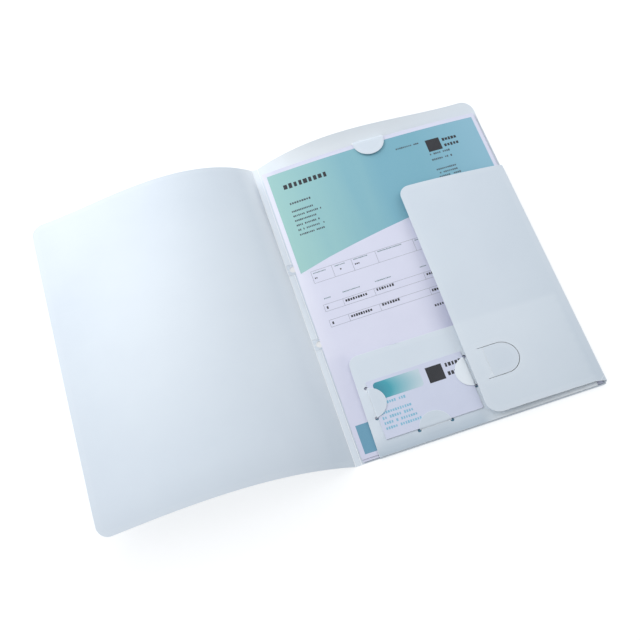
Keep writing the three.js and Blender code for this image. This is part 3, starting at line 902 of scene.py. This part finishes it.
def text(rows, letters, left, top, pitch, height, seed, row_pitch=4.0, ragged=0.35, gap=0.12):
    """Rows of blocks like letters. top is the middle of the first row."""
    piece = grown("text", rows_of_text, Rows=rows, Letters=letters, Left=left * mm, Top=top * mm,
                  Row_pitch=row_pitch * mm, Letter_pitch=pitch * mm, Letter_height=height * mm,
                  Gap_share=gap, Ragged=ragged, Seed=seed)
    mesh = piece.data
    bpy.data.objects.remove(piece)
    return mesh


def line(letters, left, middle, pitch, height, seed, gap=0.0):
    """One row of blocks that reaches its full length."""
    return text(1, letters, left, middle, pitch, height, seed, ragged=0.0, gap=gap)


def table(left, foot, right, head, dividers, thin=0.28):
    """Ruled lines round a row of cells."""
    level = [(left, y, right - left, thin) for y in (foot, head)]
    return level + [(x, foot, thin, head - foot) for x in (left, *dividers, right)]


def joined(name, pieces):
    """Several objects as one piece with all their materials."""
    with bpy.context.temp_override(active_object=pieces[0], object=pieces[0], selected_objects=pieces,
                                   selected_editable_objects=pieces):
        bpy.ops.object.join()
    pieces[0].name = name
    return pieces[0]


# %% The letter's print
header = flat_film("header", [(x * mm, y * mm) for x, y in (
    (10.6, 188.0), (40, 195.4), (67, 200.6), (94, 205.2), (120, 209.2), (213.6, 221.5), (213.6, 296.2),
    (10.6, 296.2))], cell=7 * mm)
footer = bars("footer", [(10.6, 7.2, 203, 26.6)])
dark = together("dark", [
    bars("square", [(162, 269.5, 13.4, 13.4)]),
    line(9, 21.5, 279.3, 4.8, 5.6, seed=2),
    text(2, 5, 177.6, 279.2, 2.9, 3.6, seed=9, row_pitch=6.6, ragged=0.1, gap=0.0),
    *(line(letters, left, middle, pitch, 2.7, seed) for seed, (letters, left, middle, pitch) in enumerate((
        (9, 39.4, 148.6, 2.3), (9, 39.4, 132.4, 2.2), (7, 68.4, 149.4, 2.4), (7, 68.4, 133.8, 2.4),
        (3, 115, 148.8, 2.2), (3, 114, 132.2, 2.2)), start=20)),
    line(5, 111.3, 117.4, 2.2, 2.4, seed=26),
    bars("counts", [(22.2, 146.4, 1.5, 2.6), (22.2, 130.6, 1.5, 2.6)]),
    line(5, 41.2, 180.3, 1.8, 1.8, seed=27, gap=0.1),
    line(3, 58.8, 180.4, 1.6, 1.7, seed=28),
    line(2, 20.9, 179.2, 1.4, 1.6, seed=29),
])
fine = together("fine", [
    line(9, 22, 260.4, 2.3, 2.3, seed=3, gap=0.1),
    text(6, 17, 21.5, 251.8, 1.6, 2.0, seed=5, row_pitch=5.1),
    line(13, 133, 282.2, 1.75, 1.7, seed=8, gap=0.12),
    text(2, 11, 161.2, 266.6, 1.8, 2.2, seed=12, row_pitch=6.3, ragged=0.1),
    text(3, 12, 161.4, 248.8, 1.75, 2.0, seed=14, row_pitch=4.1, ragged=0.15),
])
labels = together("labels", [
    line(letters, left, middle, pitch, 1.1, seed, gap=0.05) for seed, (letters, left, middle, pitch) in enumerate((
        (10, 20.8, 184.4, 1.2), (8, 41.2, 184.8, 1.2), (11, 59.0, 185.3, 1.2), (19, 81.9, 185.3, 1.2),
        (5, 117, 185.0, 1.2), (5, 22.4, 157.0, 1.25), (13, 39.8, 157.6, 1.25), (12, 70, 157.6, 1.25),
        (5, 112, 157.6, 1.25)), start=31)])
rules = bars("rules", table(19.2, 174.2, 160, 186.6, (38.6, 57.0, 79.7, 115.3))
             + table(20, 144.2, 160, 151.2, (37.8, 66.7, 113.2)) + table(20, 128.2, 160, 135.2, (37.7, 66.4, 112.6)))

# %% The printed letter
printed = [sheets["letter_sheet"]] + [
    grown(f"letter_{name}", lie_of_sheets, flat, Thickness=ink_film, Underside=sheet_top + lift * mm, Material=ink)
    for name, flat, ink, lift in (
        ("teal", together("teal", [header, footer]), ink_teal, 0.01), ("rules", rules, ink_grey, 0.03),
        ("labels", labels, ink_label, 0.03), ("fine", fine, ink_fine, 0.03), ("dark", dark, ink_dark, 0.03))]
letter = joined("letter_printed", printed)
settle(letter, "letter", "printed_paper", "letter_sheet")

# %% [markdown]
# ## The side flap and its D shaped tongue
# The side flap folds in from the right edge. It rises towards its free edge, since the tongue and
# the film's own spring hold it off the sheets. Flap and tongue are bent by the same tree.

# %% The side flap
side_crease_z = 4.1247 * mm
side_flap_edge, side_flap_foot, side_flap_head = 118.3 * mm, 3.2 * mm, 234 * mm
tongue_root_x, tongue_centre, tongue_width, tongue_length = 133.5 * mm, 48.4 * mm, 28.4 * mm, 27 * mm
tongue_kerf, slot_length = 0.6 * mm, 4.5 * mm


def side_flap_tree():
    tree, entry, size = new_tree(
        "bow of the side flap", Thickness=film, Crease_x=side_crease_x, Crease_z=side_crease_z, Edge=side_flap_edge,
        Head=side_flap_head, Lift_foot=3 * mm, Lift_head=8.2 * mm, Swell=1.1 * mm, Swell_reach=45 * mm)
    x, y = point_fields(tree)
    inward = at_least(size["Crease_x"] - x, 0)
    v = inward / (size["Crease_x"] - size["Edge"])
    lift = size["Lift_foot"] + (size["Lift_head"] - size["Lift_foot"]) * y / size["Head"]
    near = at_least(1 - inward / size["Swell_reach"], 0)
    swell = (near ** 2 - near ** 9) * size["Swell"]
    return bent_and_thick(tree, entry, size, vector(tree, z=size["Crease_z"] + lift * (2 * v - v * v) + swell))


def tongue_outline(grow, root):
    return placed(half_round(tongue_width, tongue_length, grow, root), tongue_root_x, tongue_centre)


def slot_outline(side):
    """A short relief slot that runs on from one end of the tongue's cut."""
    middle = tongue_centre + side * (tongue_width / 2 + tongue_kerf / 2)
    return rectangle(tongue_root_x - slot_length, middle - tongue_kerf / 2, slot_length + crease_gap, tongue_kerf)


def painted_shade_of_side_flap(x, y):
    """Painted shade, a little darker towards the crease and towards the foot."""
    towards_crease = ramp(x, 165 * mm, 220 * mm) * (0.2 - 0.1 * y / side_flap_head)
    return towards_crease + 0.12 * ramp(y, 75 * mm, 0)


bow_of_side_flap = side_flap_tree()
side_flap_flat = flat_film(
    "side_flap", rounded([
        (side_crease_x - 9 * mm, side_flap_foot, 0), (far_crease, side_flap_foot - 1.8 * mm, 0),
        (far_crease, side_flap_head, 0), (side_flap_edge + 1.6 * mm, side_flap_head + 4.7 * mm, 9.5 * mm),
        (side_flap_edge, side_flap_foot, 12 * mm)]),
    [tongue_outline(tongue_kerf, root_gap), slot_outline(-1), slot_outline(1)])
# Painted light where the bottom flap lies under the side flap, and painted shade towards the crease and the foot.
mark(side_flap_flat, "pale", lambda x, y: 0.15 * min(ramp(y, 94 * mm, 91 * mm), ramp(x, 213 * mm, 210 * mm)))
mark(side_flap_flat, "dim", painted_shade_of_side_flap)
side_flap = grown("side_flap_film", bow_of_side_flap, side_flap_flat, Material=film_white)
settle(side_flap, "side_flap", "film", "side_flap")

tongue_flat = flat_film("side_flap_tongue", tongue_outline(0, crease_gap), cell=2.5 * mm)
# The tongue gets the same painted shade as the side flap.
mark(tongue_flat, "dim", painted_shade_of_side_flap)
side_tongue = grown("side_flap_tongue_film", bow_of_side_flap, tongue_flat, Material=film_white)
settle(side_tongue, "side_flap_tongue", "film", "side_flap_tongue")

# %% [markdown]
# ## Flat film: the bottom flap and the filing tongues
# These stay flat, so they only need thickness. The bottom flap is made lying flat and then tilted
# up on its crease by half a degree, with everything that it carries.

# %% A tree that only gives thickness, and the filing tongues
def flat_tree():
    tree, entry, size = new_tree("flat film", Thickness=film)
    return bent_and_thick(tree, entry, size, vector(tree))


flat_sheet = flat_tree()
for node, y in zip(("filing_tongue_upper", "filing_tongue_lower"), filing_centres):
    hole = placed(circle((0, 0), filing_hole, 40), filing_hole_x, y)
    flat = flat_film(node, placed(filing_outline(0, crease_gap), 0, y), [hole], cell=1.5 * mm)
    settle(grown(f"{node}_film", flat_sheet, flat, Material=film_white), "front", "film", node)

# %% The bottom flap
bottom_crease_z = 2.5 * mm
flap_tilt = math.radians(0.5)
flap_left, flap_right, flap_height, flap_taper, flap_corner = 21 * mm, 212 * mm, 94.5 * mm, 2.2 * mm, 9 * mm
flap_place = (Matrix.Translation(corner) @ Matrix.Translation((0, 0, bottom_crease_z + film))
              @ Matrix.Rotation(flap_tilt, 4, "X"))

card_left, card_foot, card_width, card_height, card_thickness = 31.2 * mm, 13.1 * mm, 85 * mm, 55 * mm, 0.3 * mm
tab_width, tab_depth, tab_stand_off, side_tab_centre = 28 * mm, 12.8 * mm, 1.4 * mm, 48 * mm
notch_radius = 1.7 * mm
tab_rise = 0.7 * mm                         # how far a tab pulls the film up at its root
card_tabs = {
    "card_tab_left": (card_left - tab_stand_off, side_tab_centre, 0.0),
    "card_tab_bottom": (card_left + 42.7 * mm, card_foot - tab_stand_off, math.pi / 2),
    "card_tab_right": (card_left + card_width + tab_stand_off, side_tab_centre, math.pi),
}
windows = []
for x, y, turn in card_tabs.values():
    windows.append(placed(half_round(tab_width, tab_depth, cut_gap, root_gap), x, y, turn))
    for end in (-1, 1):
        windows.append(placed(circle((0, end * (tab_width / 2 + cut_gap)), notch_radius, 24), x, y, turn))
bottom_flat = flat_film("bottom_flap", rounded([
    (flap_left, crease_gap, 0), (flap_right, crease_gap, 0), (flap_right, flap_height - flap_taper, flap_corner),
    (flap_left + flap_taper, flap_height, flap_corner)]), windows, cell=4 * mm)


def eased(share):
    share = within(share)
    return share * share * (3 - 2 * share)


def bulge(along):
    """How high the film is pulled up at a tab's root, at this distance from the tab's middle."""
    return tab_rise * eased((tab_width / 2 + 1 * mm - abs(along)) / (6 * mm))


def pulled_up(x, y):
    height = 0.0
    for root_x, root_y, turn in card_tabs.values():
        c, s = math.cos(turn), math.sin(turn)
        out, along = c * (x - root_x) + s * (y - root_y), c * (y - root_y) - s * (x - root_x)
        if out < crease_gap:
            height = max(height, bulge(along) * eased(1 + out / (8 * mm)))
    return height


def lifted(flat, height):
    """Sets each point of a flat mesh to the height that the rule gives."""
    for point in flat.vertices:
        point.co.z = height(point.co.x, point.co.y)
    return flat


# Painted light on the pocket from under the side flap's free edge to the right.
mark(bottom_flat, "pale", lambda x, y: ramp(x, 112 * mm, 128 * mm))
bottom_flap = grown("bottom_flap_film", flat_sheet, lifted(bottom_flat, pulled_up), Material=film_pocket)
bottom_flap.data.transform(Matrix.Translation((0, 0, -film)))
settle(bottom_flap, "bottom_flap", "film", "bottom_flap", place=flap_place)

# %% [markdown]
# ## The card, its tabs and the head tab
# Each tab leaves the film at its root, climbs beside the paper's edge and lies on top of it. A
# short Python rule gives the height of each point, and the same thickness tree finishes it.

# %% The card's tabs
def over_card(x, y):
    climb = eased((x - crease_gap) / (tab_stand_off - layer_gap - crease_gap))
    low = bulge(y) - film
    return low + (card_thickness + 1.3 * layer_gap - low) * climb


# Painted shade on the left and bottom tabs, and painted light on the right tab beside the side flap's edge.
painted_tab_marks = {"card_tab_left": ("dim", lambda x, y: 0.06), "card_tab_bottom": ("dim", lambda x, y: 0.15),
             "card_tab_right": ("pale", lambda x, y: 0.9 - 0.3 * x / tab_depth)}
for node, (x, y, turn) in card_tabs.items():
    flat = lifted(flat_film(node, half_round(tab_width, tab_depth, 0, crease_gap), cell=0.9 * mm), over_card)
    mark(flat, *painted_tab_marks[node])
    tab = grown(f"{node}_film", flat_sheet, flat, Material=film_white)
    at_root = Matrix.Translation((x, y, 0)) @ Matrix.Rotation(turn, 4, "Z")
    tab.data.transform(at_root)
    bend = [flap_place @ at_root @ Vector((reach, 0, 0)) for reach in (crease_gap, 1.2 * mm)]
    settle(tab, node, "film", node, place=flap_place, hinge=("bottom_flap", *bend))

# %% The head tab
def over_letter(x, y):
    top = sheet_top + rise_of_sheets(x, letter_head, sheet_sizes) + layer_gap
    share = ramp(y, letter_head + layer_gap, head_tab_root)
    return top + (rise_of_back(x, head_tab_root, back_sizes) - top) * share


head_flat = flat_film("head_tab", head_tab_outline(0, crease_gap), cell=1.2 * mm)
head_tab = grown("head_tab_film", flat_sheet, lifted(head_flat, over_letter), Material=film_white)
settle(head_tab, "head_tab", "film", "head_tab")

# %% The business card
card_flat = flat_film("business_card", rounded([
    (x, y, 0.3 * mm) for x, y in rectangle(card_left, card_foot, card_width, card_height)]), cell=8 * mm)
card = grown("business_card_board", flat_sheet, card_flat, Thickness=card_thickness, Material=card_white)
card.data.transform(Matrix.Translation((0, 0, layer_gap)))
picture = flat_film("picture", rounded([
    (x * mm, y * mm, radius * mm) for (x, y), radius in zip(rectangle(36, 48.4, 41.2, 16.4), (0.01, 3, 0.01, 3))]),
    cell=2 * mm)
card_dark = together("card dark", [
    bars("square", [(82.4, 48.2, 14.2, 14.8)]),
    text(2, 5, 99, 60.0, 3.0, 4.2, seed=41, row_pitch=8.2, ragged=0.0, gap=0.0)])
card_blue = together("card blue", [
    line(8, 42, 44.6, 2.1, 2.7, seed=42, gap=0.12),
    text(4, 15, 33.8, 36.2, 2.1, 2.7, seed=44, row_pitch=4.75, ragged=0.3)])
card_prints = [card]
for name, flat, ink in (("picture", picture, ink_picture), ("dark", card_dark, ink_dark),
                        ("blue", card_blue, ink_blue)):
    card_prints.append(grown(f"card_{name}", flat_sheet, flat, Thickness=ink_film, Material=ink))
    card_prints[-1].data.transform(Matrix.Translation((0, 0, layer_gap + card_thickness + ink_film)))
card = joined("business_card_printed", card_prints)
settle(card, "card", "card", "business_card", place=flap_place)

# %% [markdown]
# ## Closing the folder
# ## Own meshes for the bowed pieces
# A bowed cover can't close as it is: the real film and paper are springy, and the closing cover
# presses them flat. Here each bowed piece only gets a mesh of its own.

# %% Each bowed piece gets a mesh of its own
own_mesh(front_cover)
for piece in (back_cover, sheets["third_sheet"], sheets["second_sheet"], letter, head_tab):
    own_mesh(piece)
for piece in (side_flap, side_tongue):
    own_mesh(piece)

# %% The strips and gussets keep their CAD shape
for node in ("spine_strip_head", "spine_strip_middle", "spine_strip_foot", "side_gusset", "bottom_gusset"):
    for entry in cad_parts[node].material_slots:
        entry.material = film_spine if node.startswith("spine") else film_white

# %% [markdown]
# ## Floor and light
# The floor is white to the camera and in reflections, and keeps a faint shadow. A painted shade makes
# it a little darker only where it shows through the filing holes. A soft dome of light fills the scene,
# and large lamps give the fall-off across the film from the upper left.

# %% Floor
floor = bpy.data.objects.new("floor", bars("floor", [(-2000, -2000, 4000, 4000)], longest=4000))
scene.collection.objects.link(floor)
floor.location.z = -0.05 * mm
made, tree, shader = material("white floor", 0.9)
shader.inputs["Base Color"].default_value = (0.85, 0.85, 0.85, 1)
seen = add(tree, "ShaderNodeLightPath")
camera_ray, glossy_ray, transmission_ray = (
    Field(tree, seen.outputs[f"Is {kind} Ray"]) for kind in ("Camera", "Glossy", "Transmission"))
direct = at_least(at_least(camera_ray, glossy_ray), transmission_ray)
x, y = object_fields(tree)
across = abs(x - filing_hole_x)
along = abs(abs(y - folder_height / 2) - filing_pitch / 2)
# Painted shade: the floor's glow is weaker under the filing holes.
painted_hole_shade = spread_over(tree, across, 4 * mm, 3 * mm) * spread_over(tree, along, 4.5 * mm, 3.5 * mm)
glow = add(tree, "ShaderNodeEmission", {"Color": (0.96, 0.98, 1, 1), "Strength": 0.8 - painted_hole_shade * 0.25})
diffuse = add(tree, "ShaderNodeBsdfDiffuse", {"Color": (0.32, 0.32, 0.32, 1)})
shown = add(tree, "ShaderNodeAddShader", {0: glow.outputs[0], 1: diffuse.outputs[0]})
both = add(tree, "ShaderNodeMixShader", {0: direct, 1: shader.outputs[0], 2: shown.outputs[0]})
feed(tree, tree.nodes["Material Output"], {"Surface": both.outputs[0]})
floor.data.materials.append(made)

# %% Light
world = bpy.data.worlds.new("room")
world.use_nodes = True
tree = world.node_tree
tree.nodes.clear()
seen = add(tree, "ShaderNodeLightPath")
dome = add(tree, "ShaderNodeBackground", {"Color": (0.985, 0.99, 1.01, 1), "Strength": 0.57})
white = add(tree, "ShaderNodeBackground", {"Color": (1, 1, 1, 1), "Strength": 1.0})
both = add(tree, "ShaderNodeMixShader", {0: seen.outputs["Is Camera Ray"], 1: dome.outputs[0], 2: white.outputs[0]})
add(tree, "ShaderNodeOutputWorld", {"Surface": both.outputs[0]})
scene.world = world


def lamp(name, place, power, size=0.7):
    """A square soft lamp that looks at the middle of the folder."""
    light = bpy.data.lights.new(name, "AREA")
    light.shape, light.size, light.energy = "SQUARE", size, power
    holder = bpy.data.objects.new(name, light)
    scene.collection.objects.link(holder)
    holder.location = place
    holder.rotation_euler = (-Vector(place)).to_track_quat("-Z", "Y").to_euler()


lamp("near left softbox", (-0.85, 0.1, 0.6), 2.0)
lamp("near back softbox", (-0.35, 0.75, 0.5), 5.1)
lamp("right softbox", (1.1, 0.4, 0.7), 3.3)
scene.view_settings.view_transform = "Standard"
